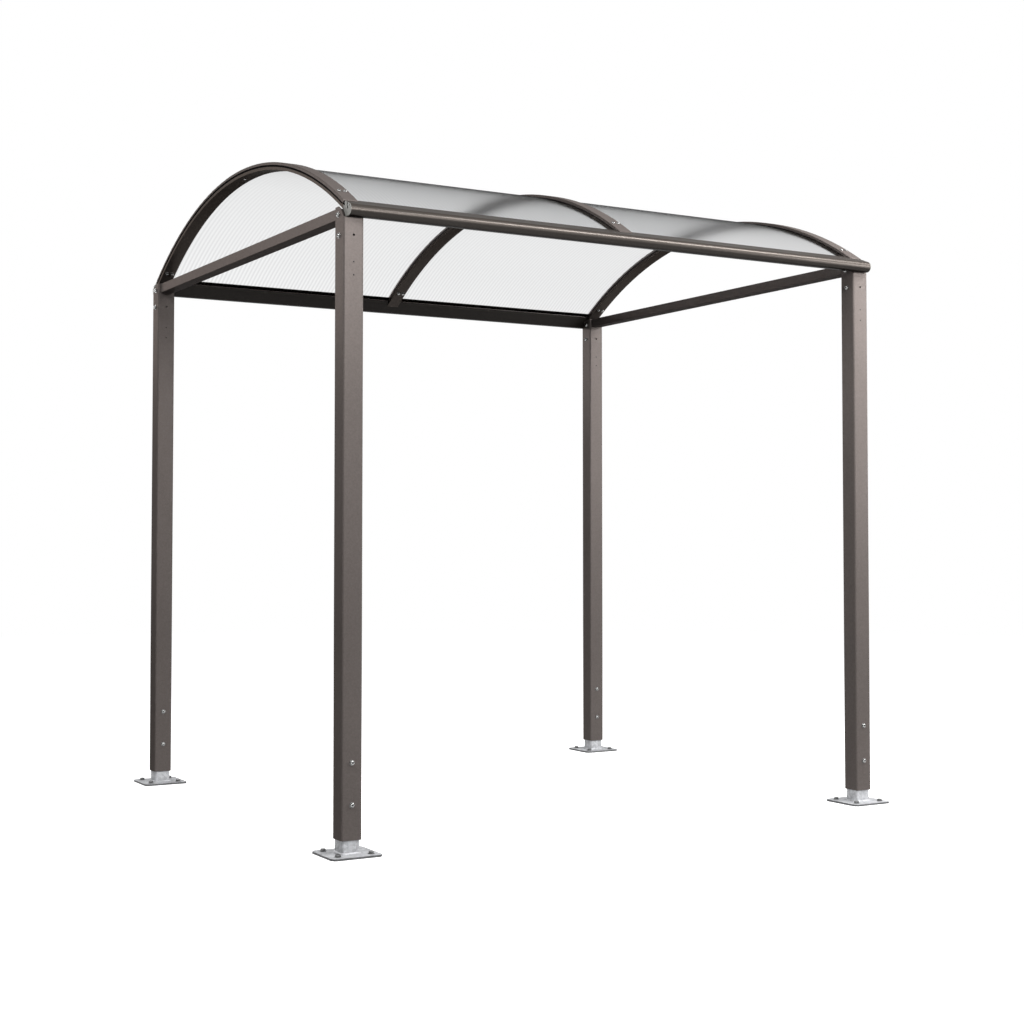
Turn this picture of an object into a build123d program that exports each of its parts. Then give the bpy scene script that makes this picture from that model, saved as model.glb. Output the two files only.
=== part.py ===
"""Open cycle shelter: four posts on bolted feet under a barrel-vaulted roof of two clear sheets.

Millimetres, +Z up. The origin is on the ground, midway between the four posts.
+X runs along the shelter's length and -Y is its front. Sections across an eave are drawn
in (out, z): out is measured outwards from the line of post centres, z up from the ground.
"""
from build123d import *
from math import asin, atan2, cos, hypot, radians, sin, sqrt
import os

# ---------------------------------------------------------------- driving dimensions
overall_length = 2500.0        # over the outer faces of the posts, along X
overall_depth = 2180.0         # over the outer faces of the posts, along Y

post_side = 80.0
post_wall = 4.0
post_corner_radius = 7.0
post_bottom = 56.0             # the painted post stops short of the ground
post_top = 2342.0
spare_hole_radius = 4.5        # drilled through both ways for side panels
spare_hole_drop = 107.0        # below post_top

plate_side = 200.0             # foot plate
plate_thickness = 8.0
plate_corner_radius = 22.0
anchor_spacing = 130.0
anchor_hole_radius = 7.0
stub_clearance = 0.8           # round the tube welded on the plate, inside the post
stub_wall = 4.0
stub_corner_radius = 8.0
stub_top = 400.0

rail_width = 56.0              # cross rails, front post to rear post
rail_height = 42.0
rail_wall = 3.0
rail_corner_radius = 2.0

vault_angle = 32.83            # slope of the vault above the post centres, degrees
bar_spring_drop = 4.3          # bar underside below post_top, above the post centres
arch_width = 58.0
bar_height = 14.0
bar_wall = 2.5
cap_overhang = 2.0             # of a cap past its bar, each side
cap_height = 11.0
cap_wall = 2.5
cap_edge_radius = 3.0
arch_end_out = 12.0            # arches stop here, inside the eave profiles

sheet_thickness = 4.8
sheet_bearing = 18.0           # width of sheet held under a cap
sheet_end_out = 20.0           # how far the sheets run into the eave slot
seat_gap = 0.2                 # between pieces that bear on each other

eave_wall = 3.0
eave_nose_radius = 23.0
eave_nose_out = 54.0           # centre of the rounded nose
eave_nose_drop = 19.5          # and how far it lies below post_top
eave_heel_out = 33.0           # lower inner corner
eave_heel_drop = 41.5
eave_lip_out = -12.0           # edge of the flange over the sheets
eave_lip_clearance = 2.2       # sheet to the flange over it
eave_ledge_out = -6.0          # edge of the ledge under the sheets
eave_ledge_depth = 4.0
eave_slot_end_out = 24.0

end_plate_thickness = 2.0
end_slot_width = 8.0           # slot of an end plate, over its adjusting screw
end_slot_length = 28.0
end_slot_angle = 100.0
end_slot_offset = (-8.5, 17.0)   # from the nose centre: out, and up
end_screw_radius = 2.5
end_screw_offset = (-12.0, -7.5)

# ---------------------------------------------------------------- places worked out from them
post_x = (overall_length - post_side) / 2
post_y = (overall_depth - post_side) / 2
end_face_x = post_x + arch_width / 2
cap_width = arch_width + 2 * cap_overhang
post_hollow = post_side - 2 * post_wall
post_hollow_radius = post_corner_radius - post_wall
stub_side = post_hollow - 2 * stub_clearance
stub_hollow = stub_side - 2 * stub_wall
stub_hollow_radius = stub_corner_radius - stub_wall

bar_inner = post_y / sin(radians(vault_angle))
bar_outer = bar_inner + bar_height
sheet_inner = bar_outer + seat_gap
sheet_outer = sheet_inner + sheet_thickness
cap_inner = sheet_outer + seat_gap
cap_outer = cap_inner + cap_height
vault_centre_z = post_top - bar_spring_drop - bar_inner * cos(radians(vault_angle))

ENDS = {"left": -1, "right": 1}
SIDES = {"front": -1, "rear": 1}
ARCHES = {"left": -post_x, "middle": 0.0, "right": post_x}


def height_on(radius, out):
    """Height of a roof cylinder of this radius, this far outside the post centres."""
    return vault_centre_z + sqrt(radius**2 - (post_y + out) ** 2)


# corners of the eave section, as (out, z)
nose_centre = (eave_nose_out, post_top - eave_nose_drop)
nose_tip = (eave_nose_out + eave_nose_radius, nose_centre[1])
heel = (eave_heel_out, post_top - eave_heel_drop)
lip = (eave_lip_out, height_on(sheet_outer, eave_lip_out) + eave_lip_clearance + eave_wall)
ledge = (eave_ledge_out, height_on(sheet_inner, eave_ledge_out) - seat_gap)
ledge_foot = (eave_ledge_out, ledge[1] - eave_ledge_depth)
slot_floor = (eave_slot_end_out, height_on(sheet_inner, eave_slot_end_out) - seat_gap)


def nose_tangent(corner, side):
    """Point where a straight face from this corner runs into the nose, above (1) or below (-1)."""
    run = nose_centre[0] - corner[0]
    climb = side * (corner[1] - nose_centre[1])
    slope = atan2(climb, run) - asin(eave_nose_radius / hypot(run, climb))
    reach_out = eave_nose_radius * sin(slope)
    reach_up = eave_nose_radius * cos(slope)
    return (nose_centre[0] + reach_out, nose_centre[1] + side * reach_up)


nose_top = nose_tangent(lip, 1)
nose_bottom = nose_tangent(heel, -1)
flange_fall = (nose_top[1] - lip[1]) / (nose_top[0] - lip[0])
slot_roof = (eave_slot_end_out, lip[1] + flange_fall * (eave_slot_end_out - lip[0]))


def section_plane(side, x=0.0):
    """Plane across an eave: its x axis points out of the shelter, its y axis points up."""
    return Plane(origin=(x, side * post_y, 0), x_dir=(0, side, 0), z_dir=(side, 0, 0))


def eave_outline(with_slot):
    """Outline of an eave profile, in (out, z); the slot takes the sheets."""
    with BuildSketch() as outline:
        with BuildLine():
            Line(heel, nose_bottom)
            ThreePointArc(nose_bottom, nose_tip, nose_top)
            if with_slot:
                lip_under = (lip[0], lip[1] - eave_wall)
                roof_under = (slot_roof[0], slot_roof[1] - eave_wall)
                Polyline(nose_top, lip, lip_under, roof_under, slot_floor)
            else:
                Polyline(nose_top, slot_roof, slot_floor)
            Polyline(slot_floor, ledge, ledge_foot, heel)
        make_face()
    return outline.sketch


def draw_vault(inner, outer, end_out):
    """Slice of the vault between two radii, drawn in the sketch that is open."""
    with Locations((0, vault_centre_z)):
        Circle(outer)
        Circle(inner, mode=Mode.SUBTRACT)
        half_span = (2 * (post_y + end_out), 2 * outer)
        Rectangle(*half_span, align=(Align.CENTER, Align.MIN), mode=Mode.INTERSECT)


def save(part, name):
    """Label one finished piece and write it to its own file."""
    part.label = name
    export_step(part, f"parts/{name}.step")


os.makedirs("parts", exist_ok=True)

# ---------------------------------------------------------------- feet
for side_name, side in SIDES.items():
    for end_name, end in ENDS.items():
        with BuildPart() as base:
            with BuildSketch():
                with Locations((end * post_x, side * post_y)):
                    RectangleRounded(plate_side, plate_side, plate_corner_radius)
                    with GridLocations(anchor_spacing, anchor_spacing, 2, 2):
                        Circle(anchor_hole_radius, mode=Mode.SUBTRACT)
            extrude(amount=plate_thickness)
            with BuildSketch(Plane.XY.offset(plate_thickness)):
                with Locations((end * post_x, side * post_y)):
                    RectangleRounded(stub_side, stub_side, stub_corner_radius)
                    RectangleRounded(stub_hollow, stub_hollow, stub_hollow_radius, mode=Mode.SUBTRACT)
            extrude(amount=stub_top - plate_thickness)
        save(base.part, f"base_{side_name}_{end_name}")

# ---------------------------------------------------------------- posts
# a post's head follows the underside of the eave profile, from its ledge to below its nose
head_line = [(out, z - seat_gap) for out, z in (ledge_foot, heel, nose_bottom)]
head_low, head_high = head_line[-1][1], head_line[0][1]
for side_name, side in SIDES.items():
    for end_name, end in ENDS.items():
        with BuildPart() as post:
            with BuildSketch(Plane.XY.offset(post_bottom)):
                with Locations((end * post_x, side * post_y)):
                    RectangleRounded(post_side, post_side, post_corner_radius)
                    RectangleRounded(post_hollow, post_hollow, post_hollow_radius, mode=Mode.SUBTRACT)
            extrude(amount=post_top - post_bottom)
            with BuildSketch(section_plane(side, end * post_x)):
                with BuildLine():
                    Polyline(*head_line, (post_side, head_low), (post_side, head_high), close=True)
                make_face()
            extrude(amount=post_side, both=True, mode=Mode.SUBTRACT)
            # and coped under the arch bar
            with BuildSketch(section_plane(side, end * post_x)):
                with Locations((-post_y, vault_centre_z)):
                    Circle(bar_inner - seat_gap)
            extrude(amount=post_side, both=True, mode=Mode.INTERSECT)
            hole_centre = (end * post_x, side * post_y, post_top - spare_hole_drop)
            with Locations(Plane(hole_centre, z_dir=(1, 0, 0)), Plane(hole_centre, z_dir=(0, 1, 0))):
                Hole(spare_hole_radius)
        save(post.part, f"post_{side_name}_{end_name}")

# ---------------------------------------------------------------- cross rails
for end_name, end in ENDS.items():
    with BuildPart() as rail:
        with BuildSketch(Plane.XZ):
            with Locations((end * post_x, post_top - rail_height / 2)):
                RectangleRounded(rail_width, rail_height, rail_corner_radius)
                Rectangle(rail_width - 2 * rail_wall, rail_height - 2 * rail_wall, mode=Mode.SUBTRACT)
        extrude(amount=post_y - post_side / 2, both=True)
    save(rail.part, f"cross_rail_{end_name}")

# ---------------------------------------------------------------- eave profiles
for side_name, side in SIDES.items():
    with BuildPart() as eave:
        with BuildSketch(section_plane(side)):
            add(eave_outline(with_slot=True))
        extrude(amount=end_face_x - end_plate_thickness, both=True)
        with BuildSketch(section_plane(side)):
            add(eave_outline(with_slot=False))
            offset(amount=-eave_wall, kind=Kind.INTERSECTION, mode=Mode.REPLACE)
        extrude(amount=end_face_x, both=True, mode=Mode.SUBTRACT)
        # notched over each arch, which ends against the nose
        for arch_x in ARCHES.values():
            with BuildSketch(section_plane(side, arch_x)):
                with Locations((-post_y, vault_centre_z)):
                    Circle(cap_outer + eave_nose_radius)
                    Circle(bar_inner - seat_gap, mode=Mode.SUBTRACT)
                with Locations((arch_end_out + seat_gap, vault_centre_z)):
                    reach = 3 * cap_outer
                    Rectangle(reach, reach, align=(Align.MAX, Align.CENTER), mode=Mode.INTERSECT)
            extrude(amount=cap_width / 2 + seat_gap, both=True, mode=Mode.SUBTRACT)
    save(eave.part, f"eave_{side_name}")

# ---------------------------------------------------------------- end plates of the eaves
for side_name, side in SIDES.items():
    for end_name, end in ENDS.items():
        face_x = end * (end_face_x - end_plate_thickness / 2)
        with BuildPart() as plate:
            with BuildSketch(section_plane(side, face_x)):
                add(eave_outline(with_slot=False))
                with Locations((arch_end_out + seat_gap, vault_centre_z)):
                    Rectangle(post_y, 3 * cap_outer, align=(Align.MIN, Align.CENTER), mode=Mode.INTERSECT)
                with Locations((nose_centre[0] + end_slot_offset[0], nose_centre[1] + end_slot_offset[1])):
                    SlotOverall(end_slot_length, end_slot_width, rotation=end_slot_angle, mode=Mode.SUBTRACT)
                with Locations((nose_centre[0] + end_screw_offset[0], nose_centre[1] + end_screw_offset[1])):
                    Circle(end_screw_radius, mode=Mode.SUBTRACT)
            extrude(amount=end_plate_thickness / 2, both=True)
        save(plate.part, f"eave_end_{side_name}_{end_name}")

# ---------------------------------------------------------------- arches and their caps
for arch_name, arch_x in ARCHES.items():
    with BuildPart() as bar:
        with BuildSketch(Plane.YZ.offset(arch_x)):
            draw_vault(bar_inner, bar_outer, arch_end_out)
        extrude(amount=arch_width / 2, both=True)
        with BuildSketch(Plane.YZ.offset(arch_x)):
            draw_vault(bar_inner + bar_wall, bar_outer - bar_wall, arch_end_out)
        extrude(amount=arch_width / 2 - bar_wall, both=True, mode=Mode.SUBTRACT)
    save(bar.part, f"arch_{arch_name}")

    with BuildPart() as cap:
        with BuildSketch(Plane.YZ.offset(arch_x)):
            draw_vault(cap_inner, cap_outer, arch_end_out)
        extrude(amount=cap_width / 2, both=True)
        long_edges = cap.edges().filter_by(GeomType.CIRCLE).sort_by(lambda edge: edge.radius)[-2:]
        fillet(long_edges, cap_edge_radius)
        with BuildSketch(Plane.YZ.offset(arch_x)):
            draw_vault(cap_inner + cap_wall, cap_outer - cap_wall, arch_end_out)
        extrude(amount=cap_width / 2 - cap_wall, both=True, mode=Mode.SUBTRACT)
    save(cap.part, f"arch_cap_{arch_name}")

# ---------------------------------------------------------------- seals beside the sheets
sheet_edge_x = end_face_x - arch_width + sheet_bearing
seal_spans = {
    "left": (-end_face_x, -sheet_edge_x - seat_gap),
    "middle": (-arch_width / 2 + sheet_bearing + seat_gap, arch_width / 2 - sheet_bearing - seat_gap),
    "right": (sheet_edge_x + seat_gap, end_face_x),
}
for seal_name, (start_x, end_x) in seal_spans.items():
    with BuildPart() as seal:
        with BuildSketch(Plane.YZ.offset(start_x)):
            draw_vault(sheet_inner, sheet_outer, arch_end_out)
        extrude(amount=end_x - start_x)
    save(seal.part, f"seal_{seal_name}")

# ---------------------------------------------------------------- roof sheets
inner_edge_x = arch_width / 2 - sheet_bearing
sheet_spans = {"left": (-sheet_edge_x, -inner_edge_x), "right": (inner_edge_x, sheet_edge_x)}
for sheet_name, (start_x, end_x) in sheet_spans.items():
    with BuildPart() as sheet:
        with BuildSketch(Plane.YZ.offset(start_x)):
            draw_vault(sheet_inner, sheet_outer, sheet_end_out)
        extrude(amount=end_x - start_x)
    save(sheet.part, f"roof_sheet_{sheet_name}")
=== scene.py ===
"""Looks of the open cycle shelter: fixings, fluted roof sheets, finishes, lights and camera.

Metres, +Z up, the origin on the ground midway between the posts, -Y the front.
"""

from math import asin, cos, pi, radians, sin

import bmesh
import bpy
from mathutils import Matrix, Vector


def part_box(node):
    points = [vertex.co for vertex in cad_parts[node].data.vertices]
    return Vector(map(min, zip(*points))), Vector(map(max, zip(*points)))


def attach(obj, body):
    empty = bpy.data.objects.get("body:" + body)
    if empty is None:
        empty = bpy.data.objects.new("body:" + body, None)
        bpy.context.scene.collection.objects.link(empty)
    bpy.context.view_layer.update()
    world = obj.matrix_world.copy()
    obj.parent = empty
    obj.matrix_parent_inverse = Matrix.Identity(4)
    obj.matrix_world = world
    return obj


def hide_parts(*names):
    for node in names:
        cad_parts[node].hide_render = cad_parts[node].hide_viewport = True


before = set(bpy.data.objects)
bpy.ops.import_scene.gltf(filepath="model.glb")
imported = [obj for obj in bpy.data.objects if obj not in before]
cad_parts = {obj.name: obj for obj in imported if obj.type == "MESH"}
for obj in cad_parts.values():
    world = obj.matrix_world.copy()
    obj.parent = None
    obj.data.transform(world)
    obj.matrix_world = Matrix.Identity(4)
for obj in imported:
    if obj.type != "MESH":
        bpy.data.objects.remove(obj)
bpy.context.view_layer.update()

SIDES = {"front": -1, "rear": 1}
ENDS = {"left": -1, "right": 1}
ARCHES = ("left", "middle", "right")
MM = 0.001


def middle(node):
    """Middle of a node's box."""
    low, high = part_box(node)
    return (low + high) / 2


def end_face(node, outward):
    """X of the face that a node turns to the left (-1) or the right (1)."""
    low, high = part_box(node)
    return high.x if outward > 0 else low.x


# ------------------------------------------------------------------ places and sizes of the frame
post_low, post_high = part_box("post_front_right")
post_x, post_y = middle("post_front_right").x, -middle("post_front_right").y
post_half = (post_high.x - post_low.x) / 2
post_wall = 4 * MM
stub_clearance = 0.8 * MM
stub_half = post_half - post_wall - stub_clearance
stub_corner = 8 * MM
plate_top = 8 * MM

vault_angle = radians(32.83)
bar_height = 14 * MM
seat_gap = 0.2 * MM
sheet_thick = 4.8 * MM
cap_height = 11 * MM
bar_inner = post_y / sin(vault_angle)
sheet_inner = bar_inner + bar_height + seat_gap
cap_outer = sheet_inner + sheet_thick + seat_gap + cap_height
vault_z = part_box("arch_cap_middle")[1].z - cap_outer


# ------------------------------------------------------------------ node helpers
def link(tree, out_socket, in_socket):
    tree.links.new(out_socket, in_socket)


def add_node(tree, kind, **settings):
    node = tree.nodes.new(kind)
    for name, value in settings.items():
        setattr(node, name, value)
    return node


def math_node(tree, operation, first, second=None):
    """Result of a sum; each term is a number or another node's output."""
    node = add_node(tree, "ShaderNodeMath", operation=operation)
    for socket, value in zip(node.inputs, (first, second)):
        if value is None:
            continue
        if isinstance(value, (int, float)):
            socket.default_value = value
        else:
            link(tree, value, socket)
    return node.outputs[0]


def place_on(tree):
    """Where the surface is, in the shelter's own coordinates."""
    return add_node(tree, "ShaderNodeTexCoord").outputs["Object"]


def split(tree, vector):
    """A vector's X, Y and Z."""
    parts = add_node(tree, "ShaderNodeSeparateXYZ")
    link(tree, vector, parts.inputs["Vector"])
    return parts.outputs


def smooth_rise(tree, value, start, end, low, high):
    """Smooth change from low to high while the value goes from start to end."""
    rise = add_node(tree, "ShaderNodeMapRange", interpolation_type="SMOOTHSTEP")
    for socket, number in (("From Min", start), ("From Max", end), ("To Min", low), ("To Max", high)):
        rise.inputs[socket].default_value = number
    link(tree, value, rise.inputs["Value"])
    return rise.outputs["Result"]


def toned(tree, colour, tone):
    """A colour, or a node's colour output, brightened or darkened by a tone about 1."""
    scale = add_node(tree, "ShaderNodeVectorMath", operation="SCALE")
    if isinstance(colour, bpy.types.NodeSocket):
        link(tree, colour, scale.inputs[0])
    else:
        scale.inputs[0].default_value = colour
    link(tree, tone, scale.inputs["Scale"])
    return scale.outputs[0]


def new_group(name, inputs, outputs):
    """Empty shader node group with named number sockets."""
    group = bpy.data.node_groups.new(name, "ShaderNodeTree")
    for socket_name, value in inputs.items():
        socket = group.interface.new_socket(socket_name, in_out="INPUT", socket_type="NodeSocketFloat")
        socket.default_value = value
    for socket_name in outputs:
        group.interface.new_socket(socket_name, in_out="OUTPUT", socket_type="NodeSocketFloat")
    return group, add_node(group, "NodeGroupInput"), add_node(group, "NodeGroupOutput")


# ------------------------------------------------------------------ surface effect that the finishes share
def make_grain_group():
    """Fine speckle over a slow drift in tone, as sprayed and dipped coats have."""
    group, inside, outside = new_group(
        "coat grain",
        {"Grain": 400.0, "Blotch": 90.0, "Contrast": 0.1, "Drift": 0.05},
        ("Tone", "Height", "Wear"),
    )
    place = place_on(group)
    fine = add_node(group, "ShaderNodeTexNoise")
    fine.inputs["Detail"].default_value = 2.0
    blotch = add_node(group, "ShaderNodeTexNoise")
    blotch.inputs["Detail"].default_value = 3.0
    slow = add_node(group, "ShaderNodeTexNoise")
    slow.inputs["Scale"].default_value = 3.0
    slow.inputs["Detail"].default_value = 3.0
    for noise in (fine, blotch, slow):
        link(group, place, noise.inputs["Vector"])
    link(group, inside.outputs["Grain"], fine.inputs["Scale"])
    link(group, inside.outputs["Blotch"], blotch.inputs["Scale"])
    speckle = math_node(group, "ADD", fine.outputs["Fac"], blotch.outputs["Fac"])
    speckle = math_node(group, "SUBTRACT", speckle, 1.0)
    speckle = math_node(group, "MULTIPLY", speckle, inside.outputs["Contrast"])
    drift = math_node(group, "SUBTRACT", slow.outputs["Fac"], 0.5)
    drift = math_node(group, "MULTIPLY", drift, inside.outputs["Drift"])
    tone = math_node(group, "ADD", speckle, drift)
    link(group, math_node(group, "ADD", tone, 1.0), outside.inputs["Tone"])
    link(group, fine.outputs["Fac"], outside.inputs["Height"])
    link(group, slow.outputs["Fac"], outside.inputs["Wear"])
    return group


grain = make_grain_group()


def place_grain(tree, **values):
    """The shared grain, with this finish's own values."""
    node = add_node(tree, "ShaderNodeGroup", node_tree=grain)
    for name, value in values.items():
        node.inputs[name].default_value = value
    return node.outputs


# ------------------------------------------------------------------ finishes
def start_material(name):
    material = bpy.data.materials.new(name)
    material.use_nodes = True
    tree = material.node_tree
    tree.nodes.clear()
    shader = add_node(tree, "ShaderNodeBsdfPrincipled")
    out = add_node(tree, "ShaderNodeOutputMaterial")
    link(tree, shader.outputs["BSDF"], out.inputs["Surface"])
    return material, tree, shader


def set_roughness(tree, shader, least, spread, mask):
    """Roughness that rises with a mask from its least value."""
    rise = math_node(tree, "MULTIPLY", mask, spread)
    link(tree, math_node(tree, "ADD", rise, least), shader.inputs["Roughness"])


def add_bump(tree, shader, height, distance, strength):
    bump = add_node(tree, "ShaderNodeBump")
    bump.inputs["Strength"].default_value = strength
    bump.inputs["Distance"].default_value = distance
    link(tree, height, bump.inputs["Height"])
    link(tree, bump.outputs["Normal"], shader.inputs["Normal"])


def lay_powder_coat(tree, shader, colour, sheen, gloss=0.0):
    """Finely textured powder coat, whose colour it returns; sheen and gloss mirror more of the lamps."""
    coat = place_grain(tree, Grain=520.0, Blotch=150.0, Contrast=0.35, Drift=0.10)
    paint = toned(tree, colour, coat["Tone"])
    link(tree, paint, shader.inputs["Base Color"])
    set_roughness(tree, shader, 0.26, 0.12, coat["Wear"])
    shader.inputs["Metallic"].default_value = sheen
    shader.inputs["Specular Tint"].default_value = (0.3, 0.3, 0.3, 1)
    shader.inputs["Specular IOR Level"].default_value = 0.0
    shader.inputs["Coat Weight"].default_value = gloss
    shader.inputs["Coat Roughness"].default_value = 0.3
    add_bump(tree, shader, coat["Height"], 0.12 * MM, 0.6)
    return paint


def make_paint(name, colour, sheen):
    """Plain taupe paint."""
    material, tree, shader = start_material(name)
    lay_powder_coat(tree, shader, colour, sheen)
    return material


def make_eave_paint(name, colour, sheen, gloss):
    """Taupe paint with painted shade: its faces turned in under the roof lose their sheen, and it is darker
    where it faces the ground.
    """
    painted_shade_tone = 0.35
    material, tree, shader = start_material(name)
    paint = lay_powder_coat(tree, shader, colour, sheen, gloss)
    surface = add_node(tree, "ShaderNodeTexCoord")
    place, normal = split(tree, surface.outputs["Object"]), split(tree, surface.outputs["Normal"])
    # painted shade: the sheen is kept only on faces not turned in under the roof, which darkens those inner
    # faces
    outward = math_node(tree, "MULTIPLY", math_node(tree, "SIGN", place["Y"]), normal["Y"])
    not_inside = math_node(tree, "GREATER_THAN", outward, -0.5)
    link(tree, math_node(tree, "MULTIPLY", not_inside, sheen), shader.inputs["Metallic"])
    # painted shade: the paint darkens to about a third where it faces the ground
    shade_below = smooth_rise(tree, normal["Z"], -0.5, 0.1, painted_shade_tone, 1.0)
    link(tree, toned(tree, paint, shade_below), shader.inputs["Base Color"])
    return material


def make_galvanised():
    """Hot-dip zinc with crystal patches; the foot plates' edges, next to the floor, are darkened as painted
    shade.
    """
    patch_spread, painted_edge_shade = 0.34, 0.72
    material, tree, shader = start_material("galvanised zinc")
    place = place_on(tree)
    crystals = add_node(tree, "ShaderNodeTexVoronoi")
    crystals.inputs["Scale"].default_value = 95.0
    link(tree, place, crystals.inputs["Vector"])
    patch = add_node(tree, "ShaderNodeSeparateColor")
    link(tree, crystals.outputs["Color"], patch.inputs["Color"])
    coat = place_grain(tree, Grain=300.0, Blotch=60.0, Contrast=0.5, Drift=0.3)
    lighter = math_node(tree, "MULTIPLY", patch.outputs["Red"], patch_spread)
    tone = math_node(tree, "ADD", math_node(tree, "SUBTRACT", lighter, patch_spread / 2), coat["Tone"])
    # painted shade: the faces below the plate's top, its edges next to the floor, are darkened
    edge = math_node(tree, "LESS_THAN", split(tree, place)["Z"], plate_top - 0.5 * MM)
    unshaded = math_node(tree, "SUBTRACT", 1.0, math_node(tree, "MULTIPLY", edge, painted_edge_shade))
    tone = math_node(tree, "MULTIPLY", tone, unshaded)
    link(tree, toned(tree, (0.47, 0.475, 0.49), tone), shader.inputs["Base Color"])
    shader.inputs["Metallic"].default_value = 0.3
    shader.inputs["Specular IOR Level"].default_value = 0.05
    set_roughness(tree, shader, 0.42, 0.2, patch.outputs["Green"])
    add_bump(tree, shader, coat["Height"], 0.3 * MM, 0.5)
    return material


def make_bare_aluminium():
    """Sawn and brushed aluminium of the eave ends."""
    stroke_spread = 0.3
    material, tree, shader = start_material("bare aluminium")
    stretch = add_node(tree, "ShaderNodeMapping")
    stretch.inputs["Scale"].default_value = (1.0, 900.0, 60.0)
    link(tree, place_on(tree), stretch.inputs["Vector"])
    brush = add_node(tree, "ShaderNodeTexNoise")
    brush.inputs["Scale"].default_value = 1.0
    link(tree, stretch.outputs["Vector"], brush.inputs["Vector"])
    coat = place_grain(tree, Grain=500.0, Blotch=120.0, Contrast=0.2, Drift=0.1)
    stroke = math_node(tree, "MULTIPLY", brush.outputs["Fac"], stroke_spread)
    tone = math_node(tree, "ADD", math_node(tree, "SUBTRACT", stroke, stroke_spread / 2), coat["Tone"])
    link(tree, toned(tree, (0.21, 0.207, 0.195), tone), shader.inputs["Base Color"])
    shader.inputs["Metallic"].default_value = 0.1
    shader.inputs["Specular IOR Level"].default_value = 0.05
    set_roughness(tree, shader, 0.42, 0.2, brush.outputs["Fac"])
    add_bump(tree, shader, brush.outputs["Fac"], 0.1 * MM, 0.5)
    return material


def make_fixing_steel(name, colour, roughness):
    """Plated steel of screws, nuts and washers."""
    spread = 0.2
    material, tree, shader = start_material(name)
    coat = place_grain(tree, Grain=900.0, Blotch=260.0, Contrast=0.4, Drift=0.2)
    link(tree, toned(tree, colour, coat["Tone"]), shader.inputs["Base Color"])
    shader.inputs["Metallic"].default_value = 0.9
    set_roughness(tree, shader, roughness - spread / 2, spread, coat["Wear"])
    return material


def make_seal_and_gap_shade_rubber():
    """Black glazing rubber, near-black so that it also paints the shade in the gap under the caps' edges."""
    material, tree, shader = start_material("seal and gap shade rubber")
    coat = place_grain(tree, Grain=700.0, Blotch=120.0, Contrast=0.6, Drift=0.3)
    link(tree, toned(tree, (0.006, 0.006, 0.006), coat["Tone"]), shader.inputs["Base Color"])
    shader.inputs["Specular IOR Level"].default_value = 0.0
    set_roughness(tree, shader, 0.6, 0.2, coat["Wear"])
    return material


flute_pitch = 18.5 * MM
# how clear the sheet is, from seen square on (0) to seen along its face (1); the fall towards 1 is partly
# light lost in the sheet and partly a painted dark reflection
CLEARNESS_AND_PAINTED_DARK = (
    (0.0, 0.88), (0.4, 0.83), (0.55, 0.79), (0.7, 0.74), (0.8, 0.67), (0.88, 0.57), (0.95, 0.21), (1.0, 0.1),
)


def make_clear_sheet():
    """Clear fluted plastic: faint lines at the flutes, darker where it is seen along its face, partly as
    light lost in the sheet and partly as a painted dark reflection.
    """
    stripe_depth = 0.2    # of the lines, where the sheet is seen square on
    lamp_share = 0.55     # of a lamp's light goes through each face
    material, tree, shader = start_material("clear sheet")
    turns = math_node(tree, "MULTIPLY", split(tree, place_on(tree))["X"], 2 * pi / flute_pitch)
    facing = add_node(tree, "ShaderNodeLayerWeight")
    facing.inputs["Blend"].default_value = 0.5
    square_on = math_node(tree, "SUBTRACT", 1.0, facing.outputs["Facing"])
    depth = math_node(tree, "MULTIPLY", square_on, stripe_depth)
    stripe = math_node(tree, "MULTIPLY", math_node(tree, "SINE", turns), depth)
    ramp = add_node(tree, "ShaderNodeValToRGB")
    stops = ramp.color_ramp.elements
    while len(stops) < len(CLEARNESS_AND_PAINTED_DARK):
        stops.new(0.5)
    for stop, (turned_away, clear) in zip(stops, CLEARNESS_AND_PAINTED_DARK):
        stop.position = turned_away
        stop.color = (clear, clear * 1.004, clear * 1.006, 1)
    link(tree, facing.outputs["Facing"], ramp.inputs["Fac"])
    # painted dark reflection: the sheet's colour follows the clearness table and darkens towards its face
    clear_and_dark_tone = toned(tree, ramp.outputs["Color"], math_node(tree, "ADD", stripe, 1.0))
    link(tree, clear_and_dark_tone, shader.inputs["Base Color"])
    lit = math_node(tree, "MULTIPLY", ramp.outputs["Color"], lamp_share)
    lit = math_node(tree, "MULTIPLY", lit, add_node(tree, "ShaderNodeLightPath").outputs["Is Shadow Ray"])
    link(tree, math_node(tree, "SUBTRACT", 1.0, lit), shader.inputs["Alpha"])
    shader.inputs["Transmission Weight"].default_value = 1.0
    shader.inputs["IOR"].default_value = 1.01
    shader.inputs["Roughness"].default_value = 0.5
    return material


frame_paint = make_paint("frame paint", (0.121, 0.105, 0.0985), 0.16)
# painted shade: the arches have a darker copy of the frame paint, for the shade on their undersides under the
# roof
shaded_arch_paint = make_paint("shaded arch paint", (0.092, 0.079, 0.071), 0.16)
eave_paint = make_eave_paint("eave paint", (0.066, 0.057, 0.051), 0.6, 0.12)
galvanised = make_galvanised()
bare_aluminium = make_bare_aluminium()
seal_and_gap_shade_rubber = make_seal_and_gap_shade_rubber()
clear_sheet = make_clear_sheet()
screw_steel = make_fixing_steel("screw steel", (0.22, 0.22, 0.217), 0.2)
anchor_steel = make_fixing_steel("anchor steel", (0.13, 0.13, 0.13), 0.3)
# near-black steel of the rivets, and painted shade inside the screw sockets
rivet_and_socket_shade_steel = make_fixing_steel("rivet and socket shade steel", (0.02, 0.02, 0.02), 0.45)

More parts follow.
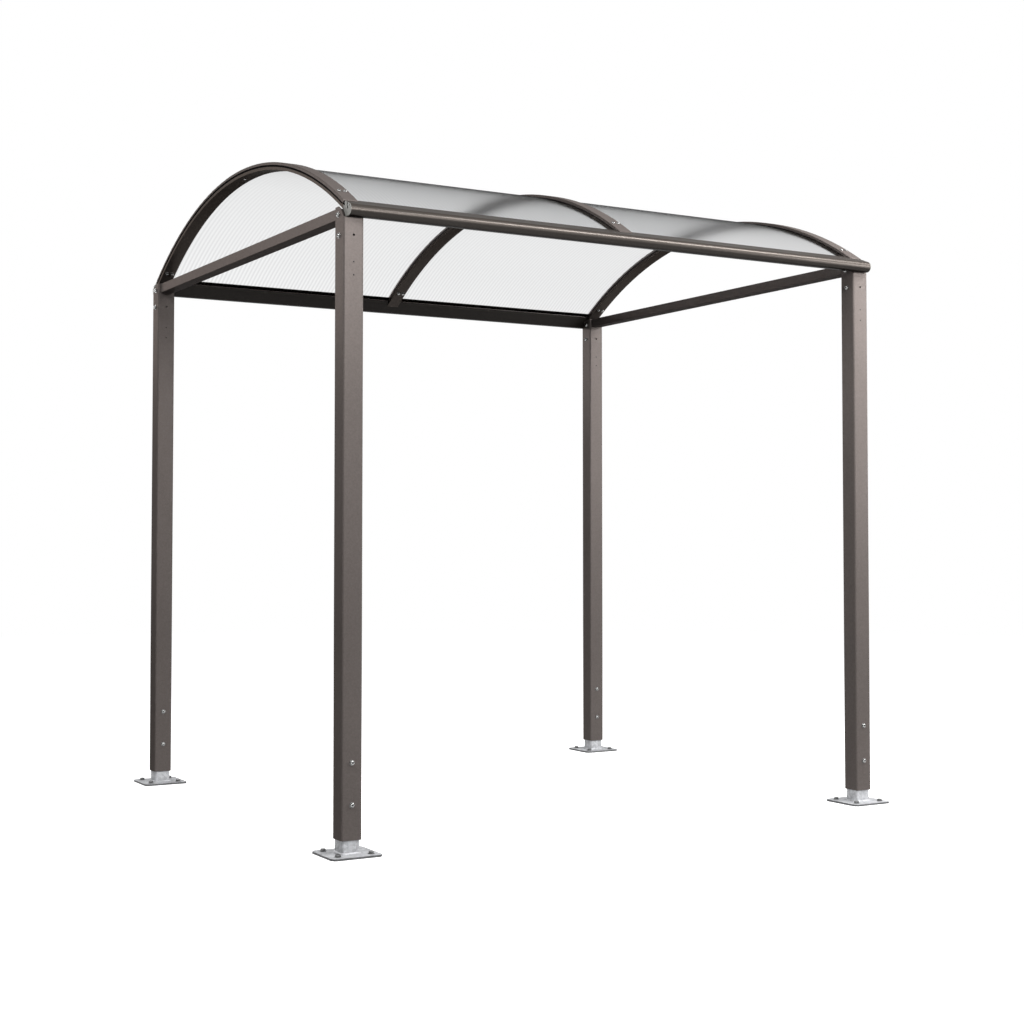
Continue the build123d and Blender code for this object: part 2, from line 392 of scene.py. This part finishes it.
# the first start of a node's name that fits counts; posts and rails have the frame paint
NODE_FINISH = {
    "base": galvanised, "eave_end": bare_aluminium, "eave": eave_paint, "arch_cap": frame_paint,
    "arch": shaded_arch_paint, "seal": seal_and_gap_shade_rubber, "roof_sheet": clear_sheet,
}
for node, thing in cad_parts.items():
    finish = next((made for start, made in NODE_FINISH.items() if node.startswith(start + "_")), frame_paint)
    for material_slot in thing.material_slots:
        material_slot.material = finish


# ------------------------------------------------------------------ making pieces
def finish_piece(name, bm, material, crease=35):
    """Close a bmesh into one piece of the shelter; edges sharper than the crease, in degrees, stay crisp."""
    bmesh.ops.remove_doubles(bm, verts=bm.verts, dist=1e-6)
    bmesh.ops.recalc_face_normals(bm, faces=bm.faces)
    mesh = bpy.data.meshes.new(name)
    bm.to_mesh(mesh)
    bm.free()
    mesh.shade_smooth()
    mesh.set_sharp_from_angle(angle=radians(crease))
    mesh.materials.append(material)
    # material 1 is near-black; on screws it paints the shade inside the sockets
    if any(face.material_index for face in mesh.polygons):
        mesh.materials.append(rivet_and_socket_shade_steel)
    piece = bpy.data.objects.new(name, mesh)
    bpy.context.collection.objects.link(piece)
    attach(piece, "root")
    return piece


def since(bm, count):
    """Vertices made after the bmesh had this many."""
    bm.verts.ensure_lookup_table()
    return bm.verts[count:]


def seat(bm, verts, spot, toward):
    """Stand a fixing, made upright at the origin, on its spot and pointing outwards."""
    turn = Vector((0, 0, 1)).rotation_difference(Vector(toward)).to_matrix().to_4x4()
    bmesh.ops.transform(bm, matrix=Matrix.Translation(spot) @ turn, verts=verts)


def turn_profile(bm, profile, steps=24):
    """Turned solid from (radius, height) points, which start and end on the axis or at one point."""
    made = [bm.verts.new((radius, 0, height)) for radius, height in profile]
    edges = [bm.edges.new(pair) for pair in zip(made, made[1:])]
    bmesh.ops.spin(
        bm, geom=made + edges, cent=(0, 0, 0), axis=(0, 0, 1), angle=2 * pi,
        steps=steps, use_merge=True, use_duplicate=False,
    )


def sweep_over_vault(bm, half_angle, steps):
    """Sweep a section that stands at the vault's front edge round to its rear edge."""
    bmesh.ops.spin(
        bm, geom=bm.verts[:] + bm.edges[:] + bm.faces[:], cent=(0, 0, vault_z), axis=(-1, 0, 0),
        angle=2 * half_angle, steps=steps, use_merge=False, use_duplicate=False,
    )


def on_vault(x, radius, half_angle):
    """Point at the vault's front edge, at this radius."""
    return Vector((x, -radius * sin(half_angle), vault_z + radius * cos(half_angle)))


# ------------------------------------------------------------------ fixings
washer_thick = 1.2 * MM


def add_washer(bm, outer, inner, thick):
    """Flat washer with eased edges, lying on z = 0."""
    ease = 0.15 * thick
    turn_profile(bm, [
        (inner, 0), (outer - ease, 0), (outer, ease), (outer, thick - ease),
        (outer - ease, thick), (inner, thick), (inner, 0),
    ])


def add_button_screw(bm, radius, height, socket, seat_z=0.0):
    """Domed screw head with a hexagon socket, whose inside is painted shade in the near-black second
    material.
    """
    verts_before, faces_before = len(bm.verts), len(bm.faces)
    mouth = 1.04 * socket / 2 / cos(pi / 6)
    edge = 0.12 * height
    steep, arc_steps = radians(75), 5
    dome = [(0.96 * radius, seat_z), (radius, seat_z + edge)]
    for step in range(1, arc_steps + 1):
        swing = steep * step / arc_steps
        dome.append((
            mouth + (radius - mouth) * cos(swing),
            seat_z + edge + (height - edge) * sin(swing) / sin(steep),
        ))
    dome[-1] = (mouth, dome[-1][1])
    hollow = [(mouth, seat_z + 0.35 * height), (0, seat_z + 0.30 * height)]
    turn_profile(bm, [(0, seat_z)] + dome + hollow)
    # painted shade: the faces inside the socket take material 1, the near-black steel
    bm.faces.ensure_lookup_table()
    for face in bm.faces[faces_before:]:
        within = all(vert.co.xy.length < mouth + 1e-6 for vert in face.verts)
        if within and face.calc_center_median().z > seat_z + 0.1 * height:
            face.material_index = 1
    for vert in since(bm, verts_before):
        reach = vert.co.xy.length
        if abs(reach - mouth) < 1e-7:
            turn = (Vector((1, 0)).angle_signed(vert.co.xy) % (pi / 3)) - pi / 6
            vert.co.xy *= socket / 2 / cos(turn) / reach


def add_hex_head(bm, across, height, seat_z=0.0):
    """Hexagon head or nut with its corners eased."""
    reach = across / 2 / cos(pi / 6)
    made = bmesh.ops.create_cone(
        bm, cap_ends=True, segments=6, radius1=reach, radius2=reach,
        depth=height, matrix=Matrix.Translation((0, 0, seat_z + height / 2)),
    )
    top = [vert for vert in made["verts"] if vert.co.z > seat_z + height / 2]
    bmesh.ops.bevel(
        bm, geom=top, offset=0.13 * across, affect="VERTICES", segments=1, profile=0.5, material=-1,
    )


def add_bolt_end(bm, radius, base_z, top_z, pitch):
    """End of a threaded bolt standing out of its nut."""
    root = radius - 0.55 * pitch
    profile, z = [(0, base_z), (root, base_z)], base_z
    while z + pitch < top_z - pitch / 2:
        profile += [(radius, z + pitch / 2), (root, z + pitch)]
        z += pitch
    profile += [(root, top_z - pitch / 3), (root - pitch / 3, top_z), (0, top_z)]
    turn_profile(bm, profile, steps=16)


def button_screw_on(bm, spot, toward, radius, height, socket):
    """Button screw over a washer."""
    start = len(bm.verts)
    add_washer(bm, 1.12 * radius, 0.5 * radius, washer_thick)
    add_button_screw(bm, radius, height, socket, seat_z=washer_thick)
    seat(bm, since(bm, start), spot, toward)


def nut_on(bm, spot, toward, thread, across, height, out):
    """Hexagon nut over a washer, with the bolt's end standing out of it."""
    start = len(bm.verts)
    add_washer(bm, 0.60 * across, thread / 2, washer_thick)
    add_hex_head(bm, across, height, seat_z=washer_thick)
    add_bolt_end(bm, thread / 2, washer_thick - 0.2 * MM, washer_thick + height + out, 0.15 * thread)
    seat(bm, since(bm, start), spot, toward)


def rivet_on(bm, spot, toward, radius, height):
    """Dome head of a blind rivet, with the dimple its pin leaves."""
    start = len(bm.verts)
    turn_profile(bm, [
        (0, 0), (radius, 0), (radius, 0.2 * height), (0.8 * radius, 0.72 * height), (0.5 * radius, height),
        (0.34 * radius, 0.95 * height), (0.3 * radius, 0.4 * height), (0, 0.4 * height),
    ], steps=16)
    seat(bm, since(bm, start), spot, toward)


# ------------------------------------------------------------------ feet
anchor_half = 65 * MM           # anchors from the post's middle
anchor_washer = {"outer": 12 * MM, "inner": 6.5 * MM, "thick": 2.2 * MM}
anchor_head = {"across": 18 * MM, "height": 7.6 * MM, "seat_z": anchor_washer["thick"]}
anchor_radius, anchor_depth = 6 * MM, 7.6 * MM
weld_leg = 5.5 * MM


def make_anchor_bolts(name, foot):
    """Four hexagon bolts through the plate, each turned its own way."""
    point, into_head = 0.3 * MM, 3 * MM
    shank = [
        (0, -anchor_depth), (anchor_radius - point, -anchor_depth), (anchor_radius, 2 * point - anchor_depth),
        (anchor_radius, into_head), (0, into_head),
    ]
    bm = bmesh.new()
    for across in (-1, 1):
        for along in (-1, 1):
            start = len(bm.verts)
            add_washer(bm, **anchor_washer)
            add_hex_head(bm, **anchor_head)
            turn_profile(bm, shank, steps=16)
            bolt = since(bm, start)
            turned = Matrix.Rotation(radians(17 * across + 41 * along), 3, "Z")
            bmesh.ops.rotate(bm, verts=bolt, cent=(0, 0, 0), matrix=turned)
            seat(bm, bolt, foot + Vector((across * anchor_half, along * anchor_half, plate_top)), (0, 0, 1))
    finish_piece(name, bm, anchor_steel)


def make_weld_bead(name, foot):
    """Fillet weld between the plate and the tube that stands on it."""
    bm = bmesh.new()
    bmesh.ops.create_grid(bm, x_segments=1, y_segments=1, size=stub_half + weld_leg)
    bmesh.ops.bevel(
        bm, geom=bm.verts[:], offset=stub_corner + weld_leg, affect="VERTICES",
        segments=6, profile=0.5, material=-1,
    )
    bmesh.ops.inset_region(bm, faces=bm.faces[:], thickness=weld_leg, use_even_offset=True, use_boundary=True)
    tube = max(bm.faces, key=lambda face: face.calc_area())
    at_tube = {(vert.co.x, vert.co.y) for vert in tube.verts}
    bmesh.ops.delete(bm, geom=[tube], context="FACES")
    raised = bmesh.ops.extrude_face_region(bm, geom=bm.faces[:])["geom"]
    top = [item for item in raised if isinstance(item, bmesh.types.BMVert)]
    toe = [vert for vert in top if (vert.co.x, vert.co.y) not in at_tube]
    bmesh.ops.translate(bm, verts=top, vec=(0, 0, weld_leg))
    bmesh.ops.translate(bm, verts=toe, vec=(0, 0, -0.75 * weld_leg))
    bmesh.ops.transform(bm, matrix=Matrix.Translation(foot + Vector((0, 0, plate_top))), verts=bm.verts[:])
    finish_piece(name, bm, galvanised, crease=70)


# ------------------------------------------------------------------ fixings of the posts and eave ends
foot_screw_heights = (182 * MM, 333 * MM)
foot_screw = {"radius": 9 * MM, "height": 6.5 * MM, "socket": 6 * MM}
foot_nut = {"thread": 10 * MM, "across": 16 * MM, "height": 8 * MM, "out": 3 * MM}
# height, and how far inboard of the post's middle
head_bolt_places = ((2312 * MM, 8 * MM), (2234.5 * MM, 0.0))
head_bolt = {"radius": 9 * MM, "height": 7.5 * MM, "socket": 6 * MM}
rivet_heights = (2137 * MM, 2089.5 * MM)
post_rivet = {"radius": 3.0 * MM, "height": 1.3 * MM}
end_screw_out, end_screw_z = 57 * MM, 2339 * MM                # out from the posts' middle line, and up
end_screw = {"radius": 3.6 * MM, "height": 2.4 * MM, "socket": 2.5 * MM}


def make_foot_screws(name, x, y):
    """Screws through the post and the tube inside it, with their nuts at the back."""
    bm = bmesh.new()
    for z in foot_screw_heights:
        button_screw_on(bm, (x, y - post_half, z), (0, -1, 0), **foot_screw)
        nut_on(bm, (x, y + post_half, z), (0, 1, 0), **foot_nut)
    finish_piece(name, bm, screw_steel)


def make_head_bolts(name, x, y, inward):
    """Domed bolts across the post under the roof."""
    bm = bmesh.new()
    for z, inboard in head_bolt_places:
        for face in (-1, 1):
            spot = (x + face * post_half, y + inward * inboard, z)
            button_screw_on(bm, spot, (face, 0, 0), **head_bolt)
    finish_piece(name, bm, screw_steel)


def make_rivets(name, x, y):
    """Rivets of the bracket inside the head of the post."""
    bm = bmesh.new()
    for z in rivet_heights:
        rivet_on(bm, (x, y - post_half, z), (0, -1, 0), **post_rivet)
    finish_piece(name, bm, rivet_and_socket_shade_steel)


def make_end_screw(name, spot, outward):
    """Small screw that holds an end plate to the eave profile."""
    bm = bmesh.new()
    add_button_screw(bm, **end_screw)
    seat(bm, bm.verts[:], spot, outward)
    finish_piece(name, bm, screw_steel)


for side_name, side in SIDES.items():
    for end_name, end in ENDS.items():
        corner = f"{side_name}_{end_name}"
        x, y = end * post_x, side * post_y
        make_anchor_bolts(f"anchor_bolts_{corner}", Vector((x, y, 0)))
        make_weld_bead(f"weld_bead_{corner}", Vector((x, y, 0)))
        make_foot_screws(f"foot_screws_{corner}", x, y)
        make_head_bolts(f"head_bolts_{corner}", x, y, -side)
        make_rivets(f"rivets_{corner}", x, y)
        plate_spot = (end_face(f"eave_end_{corner}", end), side * (post_y + end_screw_out), end_screw_z)
        make_end_screw(f"end_screw_{corner}", plate_spot, (end, 0, 0))


# ------------------------------------------------------------------ fixings of the arches
cap_screw_half = 12 * MM        # screws from the arch's middle line
cap_screw_swing = 30            # degrees from the crest
cap_screw = {"radius": 7 * MM, "height": 4.4 * MM, "socket": 5 * MM}
cap_nut = {"thread": 8 * MM, "across": 13 * MM, "height": 6.5 * MM, "out": 2.5 * MM}
crest_rivet = {"radius": 5.5 * MM, "height": 2.5 * MM}


def make_cap_screws(name, arch_x):
    """Pairs of screws that clamp cap, seal and bar, with their nuts inside, and the rivet at the crest."""
    sunk = 0.1 * MM             # of the washers, into the curve of the cap
    bm = bmesh.new()
    for swing in (-cap_screw_swing, cap_screw_swing):
        out = Vector((0, sin(radians(swing)), cos(radians(swing))))
        for along in (-1, 1):
            line = Vector((arch_x + along * cap_screw_half, 0, vault_z))
            button_screw_on(bm, line + out * (cap_outer - sunk), out, **cap_screw)
            nut_on(bm, line + out * bar_inner, -out, **cap_nut)
    rivet_on(bm, Vector((arch_x, 0, vault_z + bar_inner)), (0, 0, -1), **crest_rivet)
    finish_piece(name, bm, screw_steel)


for arch_name in ARCHES:
    make_cap_screws(f"cap_screws_{arch_name}", middle(f"arch_{arch_name}").x)


# ------------------------------------------------------------------ lips of the seals
lip_proud = 1.0 * MM            # out of the face of the arch
lip_eased = 0.6                 # of that, at the lip's edges
lip_sunk = 0.2 * MM             # into the face of the arch
lip_below = 2.4 * MM            # past the sheet's inner face


def make_seal_lip(name, arch, outward):
    """Rubber lip with eased edges along the outer face of an end arch, under the edge of its cap, where its
    near-black rubber also paints the shade of the gap.
    """
    inner, outer = sheet_inner - lip_below, sheet_inner + sheet_thick
    half_angle = asin(post_y / outer)
    bm = bmesh.new()
    bmesh.ops.create_grid(bm, x_segments=2, y_segments=1, size=0.5)
    for vert in bm.verts:
        radius = (inner + outer) / 2 + vert.co.x * (outer - inner)
        proud = lip_proud if vert.co.y > 0 else -lip_sunk
        if abs(vert.co.x) > 0.25 and vert.co.y > 0:
            proud *= lip_eased
        vert.co = on_vault(end_face(arch, outward) + outward * proud, radius, half_angle)
    sweep_over_vault(bm, half_angle, steps=96)
    finish_piece(name, bm, seal_and_gap_shade_rubber)


for end_name, end in ENDS.items():
    make_seal_lip(f"seal_lip_{end_name}", f"arch_{end_name}", end)


# ------------------------------------------------------------------ fluted roof sheets
flute_depth = 0.12 * MM
flute_steps = 6                 # across each flute
edge_play = 0.0002              # radians, keeps the edges inside the plain sheet's box


def make_fluted_sheet(name, node):
    """Sheet bent over the vault: a fluted strip across its front edge, swept to the rear edge."""
    low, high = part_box(node)
    half_angle = asin(high.y / (sheet_inner + sheet_thick)) - edge_play
    across = high.x - low.x
    bm = bmesh.new()
    bmesh.ops.create_grid(bm, x_segments=round(across / flute_pitch * flute_steps), y_segments=1, size=0.5)
    for vert in bm.verts:
        x = middle(node).x + vert.co.x * across
        swell = flute_depth * (0.5 + 0.5 * cos(2 * pi * x / flute_pitch))
        wall = sheet_thick / 2 - flute_depth + swell
        radius = sheet_inner + sheet_thick / 2 + (wall if vert.co.y > 0 else -wall)
        vert.co = on_vault(x, radius, half_angle)
    sweep_over_vault(bm, half_angle, steps=64)
    sheet = finish_piece(name, bm, clear_sheet, crease=60)
    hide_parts(node)


for end_name in ENDS:
    make_fluted_sheet(f"fluted_sheet_{end_name}", f"roof_sheet_{end_name}")


# ------------------------------------------------------------------ floor, sky and lamps
def seen_directly(tree):
    """1 for what the camera sees, also in metal and through the sheets; 0 for light on the object."""
    path = add_node(tree, "ShaderNodeLightPath")
    seen = math_node(tree, "MAXIMUM", path.outputs["Is Camera Ray"], path.outputs["Is Glossy Ray"])
    seen = math_node(tree, "MAXIMUM", seen, path.outputs["Is Transmission Ray"])
    unscattered = math_node(tree, "LESS_THAN", path.outputs["Diffuse Depth"], 0.5)
    return math_node(tree, "MULTIPLY", seen, unscattered)


def mix_by_sight(tree, unseen, seen, output_kind):
    """One shader for light on the object, the other for what is seen directly."""
    mix = add_node(tree, "ShaderNodeMixShader")
    link(tree, seen_directly(tree), mix.inputs["Fac"])
    link(tree, unseen.outputs[0], mix.inputs[1])
    link(tree, seen.outputs[0], mix.inputs[2])
    link(tree, mix.outputs[0], add_node(tree, output_kind).inputs["Surface"])


def make_floor_material():
    """Pale floor that glows almost white and still takes the shelter's shadow."""
    bounced, paleness, lost_in_sheets = 0.08, 0.8, 0.6
    near, far = 2.2, 6.0              # metres from the middle, where the glow starts and ends its rise
    near_glow, far_glow = 0.93, 0.995
    material = bpy.data.materials.new("pale floor")
    material.use_nodes = True
    tree = material.node_tree
    tree.nodes.clear()
    bounce = add_node(tree, "ShaderNodeBsdfDiffuse")
    bounce.inputs["Color"].default_value = (bounced, bounced, bounced, 1)
    pale = add_node(tree, "ShaderNodeBsdfDiffuse")
    # less of the lamps' light is seen through the sheets, so that they show from above
    through = add_node(tree, "ShaderNodeLightPath").outputs["Is Transmission Ray"]
    lost = math_node(tree, "MULTIPLY", through, lost_in_sheets)
    link(tree, math_node(tree, "SUBTRACT", paleness, lost), pale.inputs["Color"])
    # the glow rises to plain white away from the shelter, so that the floor's edge doesn't show
    reach = add_node(tree, "ShaderNodeVectorMath", operation="LENGTH")
    link(tree, place_on(tree), reach.inputs[0])
    glow = add_node(tree, "ShaderNodeEmission")
    rise = smooth_rise(tree, reach.outputs["Value"], near, far, near_glow, far_glow)
    link(tree, rise, glow.inputs["Strength"])
    both = add_node(tree, "ShaderNodeAddShader")
    link(tree, pale.outputs[0], both.inputs[0])
    link(tree, glow.outputs[0], both.inputs[1])
    mix_by_sight(tree, bounce, both, "ShaderNodeOutputMaterial")
    return material


def make_floor():
    radius, drop = 14.0, 0.6 * MM
    bm = bmesh.new()
    bmesh.ops.create_circle(
        bm, cap_ends=True, segments=64, radius=radius, matrix=Matrix.Translation((0, 0, -drop)),
    )
    mesh = bpy.data.meshes.new("floor")
    bm.to_mesh(mesh)
    bm.free()
    mesh.materials.append(make_floor_material())
    floor = bpy.data.objects.new("floor", mesh)
    bpy.context.collection.objects.link(floor)


def make_sky():
    """White where it is seen, and almost dark as a light."""
    world = bpy.data.worlds.new("studio")
    bpy.context.scene.world = world
    world.use_nodes = True
    tree = world.node_tree
    tree.nodes.clear()
    dim = add_node(tree, "ShaderNodeBackground")
    dim.inputs["Color"].default_value = (0.95, 0.97, 1.0, 1)
    dim.inputs["Strength"].default_value = 0.01
    white = add_node(tree, "ShaderNodeBackground")
    white.inputs["Color"].default_value = (1, 1, 1, 1)
    white.inputs["Strength"].default_value = 1.0
    mix_by_sight(tree, dim, white, "ShaderNodeOutputWorld")


LAMPS = (
    # name, where it stands, what it points at, width, height, watts
    ("front", (0.0, -5.5, 3.2), (0.0, -0.6, 1.5), 1.8, 1.4, 165),
    ("nose_strip", (1.7, -2.8, 4.2), (0.6, -1.1, 2.3), 2.6, 0.3, 140),
    ("right_high", (3.2, -1.6, 3.4), (1.0, 0.8, 1.7), 1.0, 1.0, 45),
    ("right_front", (3.6, -3.2, 2.8), (1.2, 0.2, 1.7), 1.2, 1.0, 66),
    ("right_low", (3.6, -3.2, 1.75), (1.2, 0.2, 1.4), 1.2, 1.1, 30),
    ("left_high", (-3.4, -2.0, 3.8), (-0.6, -0.2, 1.5), 1.4, 1.0, 85),
    ("left_rear", (-2.9, 2.6, 2.9), (-0.4, -0.4, 1.7), 1.2, 1.0, 30),
    ("rear", (-2.2, 5.0, 2.8), (0.0, 1.0, 1.7), 1.2, 1.0, 56),
)


def make_lamp(name, where, target, width, height, watts):
    """Soft lamp that lights the shelter and isn't seen itself."""
    data = bpy.data.lights.new(name, "AREA")
    data.shape = "RECTANGLE"
    data.size, data.size_y = width, height
    data.energy = watts
    lamp = bpy.data.objects.new(name, data)
    lamp.location = where
    lamp.rotation_euler = (Vector(target) - Vector(where)).to_track_quat("-Z", "Y").to_euler()
    lamp.visible_camera = False
    lamp.visible_transmission = False
    bpy.context.collection.objects.link(lamp)


make_floor()
make_sky()
for lamp_values in LAMPS:
    make_lamp(*lamp_values)

# ------------------------------------------------------------------ camera
lens = bpy.data.cameras.new("camera")
lens.lens = 58.036
lens.sensor_width = 36.0
lens.shift_y = -0.02647
lens.clip_end = 200.0
camera = bpy.data.objects.new("camera", lens)
camera.location = (-3.7089, -6.5102, 1.1128)
camera.rotation_euler = (radians(92.078), 0.0, radians(-30.256))
bpy.context.collection.objects.link(camera)
scene = bpy.context.scene
scene.camera = camera
scene.view_settings.view_transform = "Standard"

bpy.context.view_layer.update()
